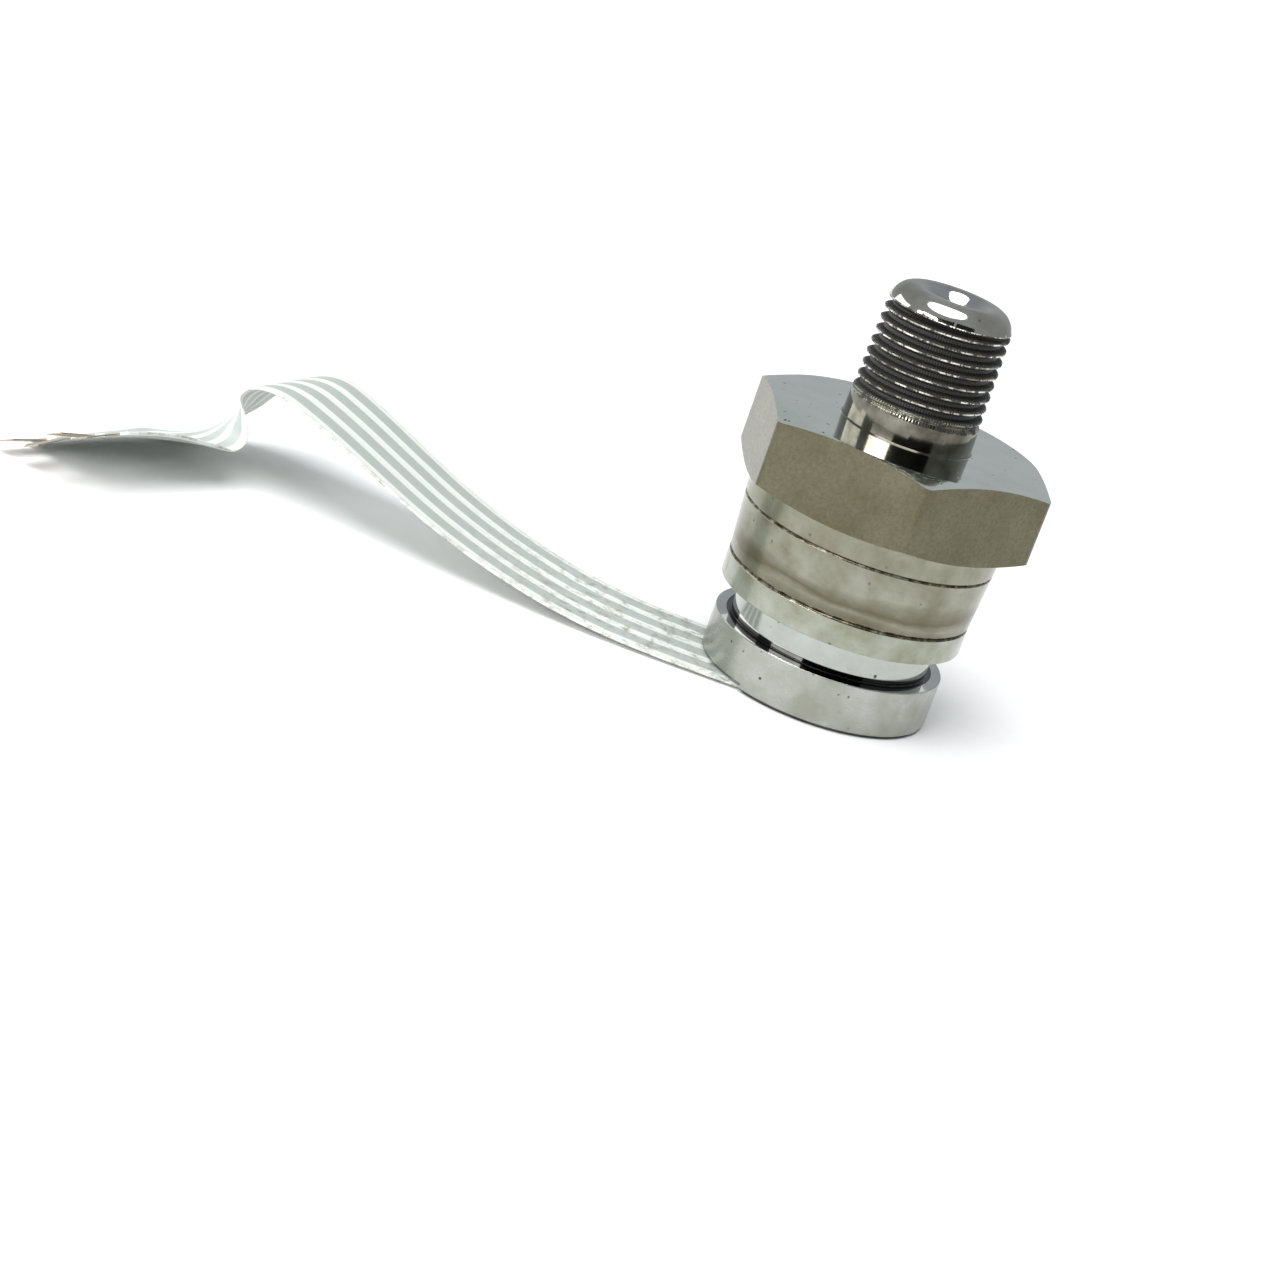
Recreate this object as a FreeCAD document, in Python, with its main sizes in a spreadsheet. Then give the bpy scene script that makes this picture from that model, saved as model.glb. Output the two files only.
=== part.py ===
"""A pressure transmitter: a threaded stainless fitting, a welded sleeve and a 19 mm sensor cell.

The part stands on the rear rim of its cell. The origin is the centre of that rim, +Z runs along
the axis to the pressure port, and the flat cable leaves through a notch on the -X side.
"""
import FreeCAD, Part
import Sketcher
import math
import os

from FreeCAD import Placement, Rotation, Vector

SIZES = {
    # the cell, from its rear rim upwards
    "ring_outer": 19.0,
    "ring_length": 4.1,
    "rim_chamfer": 0.3,
    "groove_depth": 1.25,
    "groove_width": 2.8,
    "flange_outer": 20.0,
    "flange_length": 2.15,
    "rim_wall": 1.2,
    "recess_depth": 2.6,
    "header_seat": 9.2,
    "seat_thickness": 0.85,
    "oil_bore": 15.2,
    "oil_depth": 0.6,
    # the sleeve
    "sleeve_top": 20.6,
    "sleeve_length": 4.75,
    "sleeve_wall": 1.35,
    "seam_depth": 0.12,
    "seam_width": 0.16,
    # the fitting
    "collar_outer": 20.7,
    "collar_length": 2.0,
    "hex_flats": 22.2,
    "hex_length": 6.35,
    "hex_chamfer": 0.62,
    "neck_root": 10.56,
    "thread_taper": 0.0625,
    "root_chamfer": 0.3,
    "stub_length": 11.25,
    "nose_chamfer": 1.35,
    "port_bore": 3.2,
    "port_mouth": 5.2,
    "drill_point": 1.0,
    "chamber_bore": 14.0,
    "chamber_depth": 0.5,
    # the diaphragm and the ring that holds it
    "diaphragm_thickness": 0.1,
    "corrugation_count": 2,
    "corrugation_pitch": 2.0,
    "corrugation_rise": 0.12,
    "weld_ring_width": 0.9,
    "weld_ring_length": 0.7,
    # the header and what it carries
    "header_outer": 11.0,
    "header_length": 4.4,
    "pin_circle": 5.8,
    "pin_count": 5,
    "pin_outer": 0.45,
    "glass_outer": 1.2,
    "glass_length": 3.4,
    "pin_front": 0.5,
    "filler_outer": 8.8,
    "filler_thickness": 0.75,
    "filler_window": 3.0,
    "die_side": 2.2,
    "die_thickness": 0.4,
    "pedestal_thickness": 0.55,
    "vent_outer": 1.6,
    "vent_bore": 1.0,
    "vent_seat": 1.2,
    "fill_bore": 1.2,
    "fill_circle": 8.2,
    # the board
    "board_thickness": 0.64,
    "board_height": 1.3,
    "spacer_width": 1.4,
    "resistor_length": 1.6,
    "resistor_width": 0.8,
    "resistor_thickness": 0.35,
    "resistor_inset": 2.8,
    "joint_outer": 1.2,
    "joint_length": 0.3,
    # the flat cable
    "film_width": 11.0,
    "film_thickness": 0.3,
    "strip_pitch": 2.54,
    "strip_width": 1.57,
    "strip_thickness": 0.1,
    "strip_count": 4,
    "tip_length": 3.5,
    "lead_reach": 1.0,
    "pad_length": 1.1,
    "pad_solder": 0.2,
    # clearances
    "slide_gap": 0.05,
    "pin_gap": 0.15,
    "film_gap": 0.25,
    "board_gap": 0.2,
}

# The middle of the flat cable, from its end inside the cell to its cut end.
CABLE_POINTS = [
    (-5.2, -2.2, 0.3),
    (-12.2, -2.6, 0.3),
    (-19.4, -2.5, 0.7),
    (-26.0, -1.8, 1.8),
    (-32.0, -1.0, 3.4),
    (-37.4, -0.1, 5.4),
    (-42.2, 0.8, 7.2),
    (-46.6, 1.6, 8.5),
    (-50.0, 2.0, 6.9),
    (-51.5, 0.9, 3.7),
    (-53.0, -1.6, 1.6),
    (-55.1, -5.6, 1.4),
    (-57.2, -10.0, 1.5),
    (-59.1, -14.3, 1.6),
]
# The way the cable's width points there, towards the edge on the -Y side.
CABLE_WIDTHS = [
    (-0.03, -1.0, 0.0),
    (-0.05, -1.0, 0.0),
    (-0.08, -1.0, 0.0),
    (-0.11, -0.99, 0.0),
    (-0.14, -0.99, 0.0),
    (-0.17, -0.98, 0.0),
    (-0.22, -0.97, 0.0),
    (-0.28, -0.96, 0.0),
    (-0.2, -0.98, 0.05),
    (0.12, -0.98, 0.1),
    (0.5, -0.86, 0.1),
    (0.75, -0.64, 0.15),
    (0.85, -0.5, 0.2),
    (0.88, -0.45, 0.22),
]
ARC_SHARE = 0.45
ARC_STEP = math.radians(30)
# One corner of the hexagon, and the places of the chip resistors, in degrees about the axis.
HEX_TURN = 44
RESISTOR_ANGLES = (-62, -20, 20, 62)


class Size(float):
    """A length that remembers the spreadsheet formula it comes from."""

    def __new__(cls, number, formula):
        size = super().__new__(cls, number)
        size.formula = formula
        return size

    def __add__(self, other):
        return Size(float(self) + float(other), f"({self.formula} + {formula_of(other)})")

    def __radd__(self, other):
        return Size(float(other) + float(self), f"({formula_of(other)} + {self.formula})")

    def __sub__(self, other):
        return Size(float(self) - float(other), f"({self.formula} - {formula_of(other)})")

    def __rsub__(self, other):
        return Size(float(other) - float(self), f"({formula_of(other)} - {self.formula})")

    def __mul__(self, other):
        return Size(float(self) * float(other), f"({self.formula} * {formula_of(other)})")

    def __rmul__(self, other):
        return self * other

    def __truediv__(self, other):
        return Size(float(self) / float(other), f"({self.formula} / {formula_of(other)})")

    def __neg__(self):
        return Size(-float(self), f"(-1 * {self.formula})")


def formula_of(number):
    """The formula of a size, or a plain number written out."""
    return number.formula if isinstance(number, Size) else f"{float(number):.9g}"


document = FreeCAD.newDocument("pressure_transmitter")
sheet = document.addObject("Spreadsheet::Sheet", "sizes")
for row, (alias, number) in enumerate(SIZES.items(), start=1):
    sheet.set(f"A{row}", alias)
    sheet.set(f"B{row}", str(number))
    sheet.setAlias(f"B{row}", alias)
document.recompute()


def size(alias):
    """A size of the sheet, with its formula."""
    return Size(float(getattr(sheet, alias)), f"sizes.{alias}")


subparts = []


def bind(item, name, number):
    """Tie a property to the sheet, or set it where the number is fixed."""
    item.setExpression(name, formula_of(number))


def place(item, x=0.0, y=0.0, z=0.0):
    """Put an object at a point worked out from the sheet."""
    for axis, number in zip("xyz", (x, y, z)):
        if isinstance(number, Size) or number:
            bind(item, f"Placement.Base.{axis}", number)


def keep(item, label):
    """Name an object as one of the sub-parts."""
    item.Label = label
    subparts.append(item)
    return item


def new_body(label):
    """An empty body that becomes a sub-part."""
    return keep(document.addObject("PartDesign::Body", label), label)


def origin_plane(body, role):
    """One of a body's own origin planes."""
    return next(item for item in body.Origin.OriginFeatures if item.Role == role)


def new_sketch(body, name, role, height=0.0):
    """A sketch on an origin plane, lifted by height."""
    sketch = body.newObject("Sketcher::SketchObject", name)
    sketch.AttachmentSupport = [(origin_plane(body, role), "")]
    sketch.MapMode = "FlatFace"
    if isinstance(height, Size) or height:
        bind(sketch, "AttachmentOffset.Base.z", height)
    return sketch


def draw_outline(sketch, points):
    """Add a closed outline of straight lines with every corner tied to the sheet."""
    first = sketch.GeometryCount
    corners = [Vector(float(x), float(y), 0) for x, y in points]
    for index, corner in enumerate(corners):
        following = corners[(index + 1) % len(corners)]
        sketch.addGeometry(Part.LineSegment(corner, following), False)
    for index, (x, y) in enumerate(points):
        following = (index + 1) % len(points)
        sketch.addConstraint(
            Sketcher.Constraint("Coincident", first + index, 2, first + following, 1)
        )
        for kind, number in (("DistanceX", x), ("DistanceY", y)):
            constraint = Sketcher.Constraint(kind, -1, 1, first + index, 1, float(number))
            position = sketch.addConstraint(constraint)
            if isinstance(number, Size):
                bind(sketch, f"Constraints[{position}]", number)


def draw_circle(sketch, diameter, x=0.0, y=0.0):
    """Add a circle with its diameter and centre tied to the sheet."""
    circle = Part.Circle(Vector(float(x), float(y), 0), Vector(0, 0, 1), float(diameter) / 2)
    edge = sketch.addGeometry(circle, False)
    for kind, number in (("DistanceX", x), ("DistanceY", y)):
        constraint = Sketcher.Constraint(kind, -1, 1, edge, 3, float(number))
        position = sketch.addConstraint(constraint)
        if isinstance(number, Size):
            bind(sketch, f"Constraints[{position}]", number)
    position = sketch.addConstraint(Sketcher.Constraint("Diameter", edge, float(diameter)))
    bind(sketch, f"Constraints[{position}]", diameter)


def turn(body, name, points):
    """Turn an outline of (radius, height) points about the axis."""
    sketch = new_sketch(body, f"{name}_outline", "XZ_Plane")
    draw_outline(sketch, points)
    feature = body.newObject("PartDesign::Revolution", name)
    feature.Profile = sketch
    feature.ReferenceAxis = (sketch, ["V_Axis"])
    feature.Angle = 360
    return feature


def turned_part(label, points):
    """A sub-part turned from one outline."""
    body = new_body(label)
    turn(body, f"{label}_turned", points)
    return body


def cut_upwards(body, sketch, name, depth):
    """Pocket a sketch upwards by a depth, and make sure that it takes material away."""
    document.recompute()
    before = body.Shape.Volume
    pocket = body.newObject("PartDesign::Pocket", name)
    pocket.Profile = sketch
    pocket.Reversed = True
    bind(pocket, "Length", depth)
    document.recompute()
    if body.Shape.Volume >= before:
        raise ValueError(f"{name} cuts nothing")


def on_circle(diameter, degrees):
    """The x and y of a point on a circle, as sizes."""
    angle = math.radians(degrees)
    return diameter * (math.cos(angle) / 2), diameter * (math.sin(angle) / 2)


def cylinder(name, diameter, length, x=0.0, y=0.0, z=0.0):
    """A plain cylinder standing at a point."""
    item = document.addObject("Part::Cylinder", name)
    bind(item, "Radius", diameter / 2)
    bind(item, "Height", length)
    place(item, x, y, z)
    return item


def box(name, length, width, height, x=0.0, y=0.0, z=0.0):
    """A plain box from its lowest corner."""
    item = document.addObject("Part::Box", name)
    bind(item, "Length", length)
    bind(item, "Width", width)
    bind(item, "Height", height)
    place(item, x, y, z)
    return item


def cut(name, base, tool):
    """One solid less another."""
    item = document.addObject("Part::Cut", name)
    item.Base = base
    item.Tool = tool
    return item


def group(label, items):
    """Several like solids as one sub-part."""
    item = document.addObject("Part::Compound", label)
    item.Links = items
    return keep(item, label)


# Heights along the axis.
groove_top = size("ring_length") + size("groove_width")
cell_front = groove_top + size("flange_length")
sleeve_end = cell_front + size("sleeve_length")
hex_base = sleeve_end + size("collar_length")
hex_top = hex_base + size("hex_length")
port_face = hex_top + size("stub_length")
diaphragm_front = cell_front + size("diaphragm_thickness")
weld_ring_front = diaphragm_front + size("weld_ring_length")
header_rear = cell_front - size("oil_depth") - size("seat_thickness") - size("header_length")
header_front = header_rear + size("header_length")
board_top = size("board_height") + size("board_thickness")
sleeve_bore = size("flange_outer") - 2 * size("sleeve_wall")
weld_ring_outer = sleeve_bore - 2 * size("slide_gap")
recess_bore = size("ring_outer") - 2 * size("rim_wall")
board_outer = recess_bore - 2 * size("board_gap")
pin_angles = [360 * index / SIZES["pin_count"] for index in range(SIZES["pin_count"])]
# The fill hole lies midway between two pins.
fill_angle = 180 / SIZES["pin_count"]


def make_process_fitting():
    """The fitting: taper thread blank, neck, hexagon, collar and the plug inside the sleeve."""
    body = new_body("process_fitting")
    plug = sleeve_bore / 2 - size("slide_gap")
    collar = size("collar_outer") / 2
    corner = size("hex_flats") / math.sqrt(3)
    flat = size("hex_flats") / 2
    neck = size("neck_root") / 2
    nose_height = port_face - size("nose_chamfer")
    nose = neck - (size("stub_length") - size("nose_chamfer")) * size("thread_taper") / 2
    bore = size("port_bore") / 2
    mouth = size("port_mouth") / 2
    chamber = size("chamber_bore") / 2
    outline = [
        (chamber, weld_ring_front),
        (plug, weld_ring_front),
        (plug, sleeve_end),
        (collar - size("seam_depth"), sleeve_end),
        (collar, sleeve_end + size("seam_width")),
        (collar, hex_base),
        (flat, hex_base),
        (corner, hex_base + size("hex_chamfer")),
        (corner, hex_top - size("hex_chamfer")),
        (flat, hex_top),
        (neck + size("root_chamfer"), hex_top),
        (neck, hex_top + size("root_chamfer")),
        (nose, nose_height),
        (nose - size("nose_chamfer"), port_face),
        (mouth, port_face),
        (bore, port_face - (mouth - bore)),
        (bore, weld_ring_front + size("chamber_depth") + size("drill_point")),
        (chamber / 2, weld_ring_front + size("chamber_depth")),
        (chamber, weld_ring_front + size("chamber_depth")),
    ]
    turn(body, "fitting_turned", outline)
    flats = new_sketch(body, "hexagon_outline", "XY_Plane", hex_base)
    draw_circle(flats, corner * 2 + size("hex_length"))
    corners = [(corner * math.cos(math.radians(a)), corner * math.sin(math.radians(a)))
               for a in range(HEX_TURN, HEX_TURN + 360, 60)]
    draw_outline(flats, corners)
    cut_upwards(body, flats, "hexagon_milled", size("hex_length"))


def make_sleeve():
    """The sleeve between the cell and the fitting, welded to both."""
    bore = sleeve_bore / 2
    low = size("flange_outer") / 2
    top = size("sleeve_top") / 2
    outline = [
        (bore, cell_front),
        (low - size("seam_depth"), cell_front),
        (low, cell_front + size("seam_width")),
        (top, sleeve_end - size("seam_width")),
        (top - size("seam_depth"), sleeve_end),
        (bore, sleeve_end),
    ]
    return turned_part("weld_sleeve", outline)


def make_cell():
    """The sensor cell's housing: rear ring, O-ring groove, front flange and header seat."""
    body = new_body("cell_housing")
    ring = size("ring_outer") / 2
    floor = ring - size("groove_depth")
    flange = size("flange_outer") / 2
    recess = recess_bore / 2
    pocket = size("header_outer") / 2 + size("slide_gap")
    seat = size("header_seat") / 2
    oil = size("oil_bore") / 2
    outline = [
        (recess, 0.0),
        (ring - size("rim_chamfer"), 0.0),
        (ring, size("rim_chamfer")),
        (ring, size("ring_length")),
        (floor, size("ring_length")),
        (floor, groove_top),
        (flange, groove_top),
        (flange, cell_front - size("seam_width")),
        (flange - size("seam_depth"), cell_front),
        (oil, cell_front),
        (oil, cell_front - size("oil_depth")),
        (seat, cell_front - size("oil_depth")),
        (seat, header_front),
        (pocket, header_front),
        (pocket, size("recess_depth")),
        (recess, size("recess_depth")),
    ]
    turn(body, "cell_turned", outline)
    notch = new_sketch(body, "notch_outline", "XY_Plane")
    film_end, middle, height = CABLE_POINTS[0]
    inner_end = size("film_gap") * 2 + film_end
    half = size("film_width") / 2 + size("film_gap")
    draw_outline(notch, [
        (-2 * ring, middle - half),
        (inner_end, middle - half),
        (inner_end, middle + half),
        (-2 * ring, middle + half),
    ])
    clear = height + size("film_thickness") / 2 + size("film_gap")
    cut_upwards(body, notch, "cable_notch", clear)
    return body


def make_diaphragm():
    """The thin isolating diaphragm with its concentric corrugations."""
    edge = weld_ring_outer / 2
    thickness = size("diaphragm_thickness")
    pitch = size("corrugation_pitch")
    rise = size("corrugation_rise")
    inner = weld_ring_outer / 2 - size("weld_ring_width") - pitch / 2
    crests = []
    for index in range(SIZES["corrugation_count"]):
        radius = inner - index * pitch
        crests += [(radius, 0.0), (radius - pitch / 4, rise), (radius - pitch / 2, 0.0)]
    upper = [(edge, diaphragm_front)]
    lower = [(edge, cell_front)]
    for radius, lift in crests:
        upper.append((radius, diaphragm_front + lift))
        lower.append((radius, cell_front + lift))
    outline = upper + [(0.0, diaphragm_front), (0.0, cell_front)] + lower[::-1]
    return turned_part("isolation_diaphragm", outline)


def make_header():
    """The header disc with its pin holes, vent seat and oil-fill hole."""
    body = new_body("header_disc")
    radius = size("header_outer") / 2
    turn(body, "header_turned", [
        (0.0, header_rear), (radius, header_rear), (radius, header_front), (0.0, header_front),
    ])
    holes = new_sketch(body, "seal_holes", "XY_Plane", header_rear)
    for degrees in pin_angles:
        x, y = on_circle(size("pin_circle"), degrees)
        draw_circle(holes, size("glass_outer"), x, y)
    cut_upwards(body, holes, "seal_holes_drilled", size("header_length"))
    x, y = on_circle(size("fill_circle"), fill_angle)
    fill = new_sketch(body, "fill_hole", "XY_Plane", header_rear)
    draw_circle(fill, size("fill_bore"), x, y)
    cut_upwards(body, fill, "fill_hole_drilled", size("header_length"))
    vent = new_sketch(body, "vent_hole", "XY_Plane", header_rear)
    draw_circle(vent, size("vent_outer"))
    cut_upwards(body, vent, "vent_seat_drilled", size("vent_seat"))
    return body


def make_pins():
    """The header pins and the glass beads that seal them."""
    pin_bottom = size("board_height")
    pin_length = header_front + size("pin_front") - pin_bottom
    bead_base = header_rear + (size("header_length") - size("glass_length")) / 2
    pins = []
    beads = []
    for index, degrees in enumerate(pin_angles):
        x, y = on_circle(size("pin_circle"), degrees)
        pins.append(cylinder(f"pin_{index}", size("pin_outer"), pin_length, x, y, pin_bottom))
        bead = cylinder(f"bead_{index}", size("glass_outer"), size("glass_length"), x, y, bead_base)
        hole = cylinder(f"bead_hole_{index}", size("pin_outer"), size("glass_length"),
                        x, y, bead_base)
        beads.append(cut(f"bead_cut_{index}", bead, hole))
    group("header_pins", pins)
    group("glass_seals", beads)


def make_filler():
    """The ceramic filler that takes up most of the oil space, open round the die and the pins."""
    body = new_body("oil_filler")
    radius = size("filler_outer") / 2
    turn(body, "filler_turned", [
        (0.0, header_front), (radius, header_front),
        (radius, header_front + size("filler_thickness")),
        (0.0, header_front + size("filler_thickness")),
    ])
    half = size("filler_window") / 2
    window = new_sketch(body, "die_window", "XY_Plane", header_front)
    draw_outline(window, [(-half, -half), (half, -half), (half, half), (-half, half)])
    cut_upwards(body, window, "die_window_cut", size("filler_thickness"))
    holes = new_sketch(body, "pin_holes", "XY_Plane", header_front)
    for degrees in pin_angles:
        x, y = on_circle(size("pin_circle"), degrees)
        draw_circle(holes, size("pin_outer") + 2 * size("pin_gap"), x, y)
    cut_upwards(body, holes, "pin_holes_drilled", size("filler_thickness"))
    return body


def make_sensor():
    """The silicon die on its glass pedestal."""
    side = size("die_side")
    half = side / 2
    keep(box("pedestal", side, side, size("pedestal_thickness"), -half, -half, header_front),
         "die_pedestal")
    keep(box("die", side, side, size("die_thickness"), -half, -half,
             header_front + size("pedestal_thickness")), "sensor_die")


def make_vent_and_plug():
    """The reference vent tube and the ball that closes the fill hole."""
    vent_base = size("board_height")
    length = header_rear + size("vent_seat") - vent_base
    outer = cylinder("vent_outside", size("vent_outer"), length, z=vent_base)
    inner = cylinder("vent_inside", size("vent_bore"), length, z=vent_base)
    keep(cut("vent", outer, inner), "vent_tube")
    x, y = on_circle(size("fill_circle"), fill_angle)
    ball = document.addObject("Part::Sphere", "ball")
    bind(ball, "Radius", size("fill_bore") / 2)
    place(ball, x, y, header_rear + size("fill_bore") / 2)
    keep(ball, "fill_ball")


def make_board():
    """The ceramic compensation board, its spacer, its chip resistors and its solder."""
    height = size("board_height")
    radius = board_outer / 2
    body = new_body("compensation_board")
    turn(body, "board_turned", [
        (size("vent_outer") / 2 + size("pin_gap"), height), (radius, height),
        (radius, board_top), (size("vent_outer") / 2 + size("pin_gap"), board_top),
    ])
    holes = new_sketch(body, "board_holes", "XY_Plane", height)
    for degrees in pin_angles:
        x, y = on_circle(size("pin_circle"), degrees)
        draw_circle(holes, size("pin_outer") + size("slide_gap") * 2, x, y)
    cut_upwards(body, holes, "board_holes_drilled", size("board_thickness"))
    turned_part("board_spacer", [
        (radius - size("spacer_width"), board_top), (radius, board_top),
        (radius, size("recess_depth")), (radius - size("spacer_width"), size("recess_depth")),
    ])
    chips = []
    for index, degrees in enumerate(RESISTOR_ANGLES):
        x, y = on_circle(board_outer - 2 * size("resistor_inset"), degrees)
        chips.append(box(f"chip_{index}", size("resistor_length"), size("resistor_width"),
                         size("resistor_thickness"), x - size("resistor_length") / 2,
                         y - size("resistor_width") / 2, height - size("resistor_thickness")))
    group("chip_resistors", chips)
    joints = []
    for index, degrees in enumerate(pin_angles):
        x, y = on_circle(size("pin_circle"), degrees)
        cone = document.addObject("Part::Cone", f"fillet_{index}")
        bind(cone, "Radius1", size("pin_outer") / 2 + size("slide_gap"))
        bind(cone, "Radius2", size("joint_outer") / 2)
        bind(cone, "Height", size("joint_length"))
        place(cone, x, y, height - size("joint_length"))
        joints.append(cone)
    group("pin_solder", joints)


def run_vectors(points):
    """The unit vector of each straight run."""
    return [(end - start).normalize() for start, end in zip(points[:-1], points[1:])]


def square_to(width, along):
    """A width vector made square to the way the cable runs."""
    return (width - along * width.dot(along)).normalize()


def strip_section(point, along, width, across, thickness, offset):
    """A rectangle across the cable, off its middle by offset along its width."""
    side = square_to(width, along)
    up = along.cross(side)
    middle = point + side * offset
    corners = [
        middle + side * (sx * across / 2) + up * (sy * thickness / 2)
        for sx, sy in ((-1, -1), (1, -1), (1, 1), (-1, 1))
    ]
    return Part.makePolygon(corners + corners[:1])


def arc_stations(point, before, after, reach):
    """Points along the tangent arc that rounds one corner of the route, with their directions."""
    turn_angle = before.getAngle(after)
    radius = reach / math.tan(turn_angle / 2)
    start = point - before * reach
    axis = before.cross(after).normalize()
    centre = start + axis.cross(before) * radius
    steps = max(1, math.ceil(turn_angle / ARC_STEP))
    stations = []
    for step in range(steps + 1):
        turned = Rotation(axis, math.degrees(turn_angle) * step / steps)
        stations.append((centre + turned.multVec(start - centre), turned.multVec(before)))
    return stations, radius, radius * turn_angle


def blended_width(distance, knots, widths):
    """The width's direction at a distance along the cable, between those given at its points."""
    for index in range(len(knots) - 1):
        if distance <= knots[index + 1]:
            share = (distance - knots[index]) / (knots[index + 1] - knots[index])
            return widths[index] * (1 - share) + widths[index + 1] * share
    return widths[-1]


def cable_stations(points, widths):
    """Every section of the cable: its middle, the way it runs and its width."""
    runs = run_vectors(points)
    lengths = [(end - start).Length for start, end in zip(points[:-1], points[1:])]
    places = [(0.0, points[0], runs[0])]
    knots = [0.0]
    radii = []
    for index in range(1, len(points) - 1):
        reach = ARC_SHARE * min(lengths[index - 1], lengths[index])
        arc, radius, arc_length = arc_stations(points[index], runs[index - 1], runs[index], reach)
        begin = places[-1][0] + (arc[0][0] - places[-1][1]).Length
        for step, (middle, along) in enumerate(arc):
            places.append((begin + arc_length * step / (len(arc) - 1), middle, along))
        knots.append(begin + arc_length / 2)
        radii.append(radius)
    length = places[-1][0] + (points[-1] - places[-1][1]).Length
    places.append((length, points[-1], runs[-1]))
    knots.append(length)
    print("cable radii", [round(radius, 1) for radius in radii], "length", round(length, 2))
    stations = [(middle, along, blended_width(distance, knots, widths))
                for distance, middle, along in places]
    return stations, length


def strip_solid(stations, across, thickness):
    """A flat strip with straight sides from one section to the next."""
    sections = [strip_section(middle, along, width, across, thickness, 0.0)
                for middle, along, width in stations]
    return Part.makeLoft(sections, True, True)


def add_shape(label, shape):
    """A sub-part whose form is set by code."""
    item = document.addObject("Part::Feature", label)
    item.Shape = shape
    item.Placement = Placement()
    return keep(item, label)


def make_cable():
    """The flat cable with its four strips bare at both ends, and the joints on the board."""
    points = [Vector(*point) for point in CABLE_POINTS]
    widths = [Vector(*width).normalize() for width in CABLE_WIDTHS]
    stations, length = cable_stations(points, widths)
    film = strip_solid(stations, size("film_width"), size("film_thickness"))
    print("cable volume", round(film.Volume, 1), "section by length",
          round(size("film_width") * size("film_thickness") * length, 1))
    add_shape("cable_film", film)
    middle = (size("strip_count") - 1) / 2
    offsets = [size("strip_pitch") * (index - middle) for index in range(SIZES["strip_count"])]
    end_run = run_vectors(points)[-1]
    tips = []
    for offset in offsets:
        root = strip_section(points[-1], end_run, widths[-1], size("strip_width"),
                             size("strip_thickness"), offset)
        tips.append(Part.Face(root).extrude(end_run * float(size("tip_length"))))
    add_shape("cable_tips", Part.makeCompound(tips))
    start_run = run_vectors(points)[0]
    leads = []
    pads = []
    board = float(size("board_height"))
    thick = float(size("strip_thickness"))
    reach = float(size("lead_reach"))
    pad = float(size("pad_length"))
    wide = float(size("strip_width"))
    solder = float(size("pad_solder"))
    for offset in offsets:
        side = square_to(widths[0], start_run)
        root = points[0] + side * float(offset)
        low = root.z - thick / 2
        x = root.x
        profile = [
            (x, low), (x + thick, low), (x + reach, board - thick), (x + reach + pad, board - thick),
            (x + reach + pad, board), (x + reach - thick, board), (x, low + thick),
        ]
        corners = [Vector(px, root.y - wide / 2, pz) for px, pz in profile]
        face = Part.Face(Part.makePolygon(corners + corners[:1]))
        leads.append(face.extrude(Vector(0, wide, 0)))
        blob = Part.makeBox(pad - 2 * thick, wide - 2 * thick, solder,
                            Vector(x + reach + thick, root.y - wide / 2 + thick,
                                   board - thick - solder))
        lower = [edge for edge in blob.Edges if edge.BoundBox.ZMax < blob.BoundBox.Center.z]
        pads.append(blob.makeChamfer(solder / 2, lower))
    add_shape("cable_leads", Part.makeCompound(leads))
    add_shape("cable_solder", Part.makeCompound(pads))


def make_weld_ring():
    """The ring that clamps the diaphragm's edge to the cell."""
    outer = weld_ring_outer / 2
    inner = outer - size("weld_ring_width")
    return turned_part("diaphragm_ring", [
        (inner, diaphragm_front), (outer, diaphragm_front),
        (outer, weld_ring_front), (inner, weld_ring_front),
    ])


def check_and_write():
    """Make sure that every object came out, then write one file for each sub-part."""
    document.recompute()
    for item in document.Objects:
        for state in item.State:
            if state in ("Invalid", "Error"):
                raise ValueError(f"{item.Name} is {state}")
    os.makedirs("parts", exist_ok=True)
    for item in subparts:
        shape = item.Shape
        if shape.isNull() or not shape.isValid() or not shape.Solids:
            raise ValueError(f"{item.Label} has no valid shape")
        shape.exportStep(f"parts/{item.Label}.step")
        print(f"{item.Label}: {len(shape.Solids)} solids, {shape.Volume:.2f} mm3")


make_process_fitting()
make_sleeve()
make_cell()
make_diaphragm()
make_weld_ring()
make_header()
make_pins()
make_filler()
make_sensor()
make_vent_and_plug()
make_board()
make_cable()
check_and_write()
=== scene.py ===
"""Looks of the pressure transmitter: worn stainless steel, a taper thread and a flat white cable."""
import math

import bmesh
import bpy
from mathutils import Matrix, Vector


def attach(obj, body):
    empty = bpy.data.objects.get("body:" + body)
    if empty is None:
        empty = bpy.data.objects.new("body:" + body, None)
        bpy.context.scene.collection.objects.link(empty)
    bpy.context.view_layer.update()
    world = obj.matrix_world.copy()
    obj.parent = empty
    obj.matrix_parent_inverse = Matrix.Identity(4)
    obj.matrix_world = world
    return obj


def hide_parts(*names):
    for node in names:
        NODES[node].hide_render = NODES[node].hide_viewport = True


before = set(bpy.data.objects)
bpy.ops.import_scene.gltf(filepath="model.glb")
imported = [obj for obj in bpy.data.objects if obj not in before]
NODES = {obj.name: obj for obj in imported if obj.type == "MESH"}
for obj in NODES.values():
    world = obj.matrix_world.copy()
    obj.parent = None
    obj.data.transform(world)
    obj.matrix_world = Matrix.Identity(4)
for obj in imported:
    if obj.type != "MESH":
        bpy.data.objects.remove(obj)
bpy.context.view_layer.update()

MM = 0.001

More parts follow.
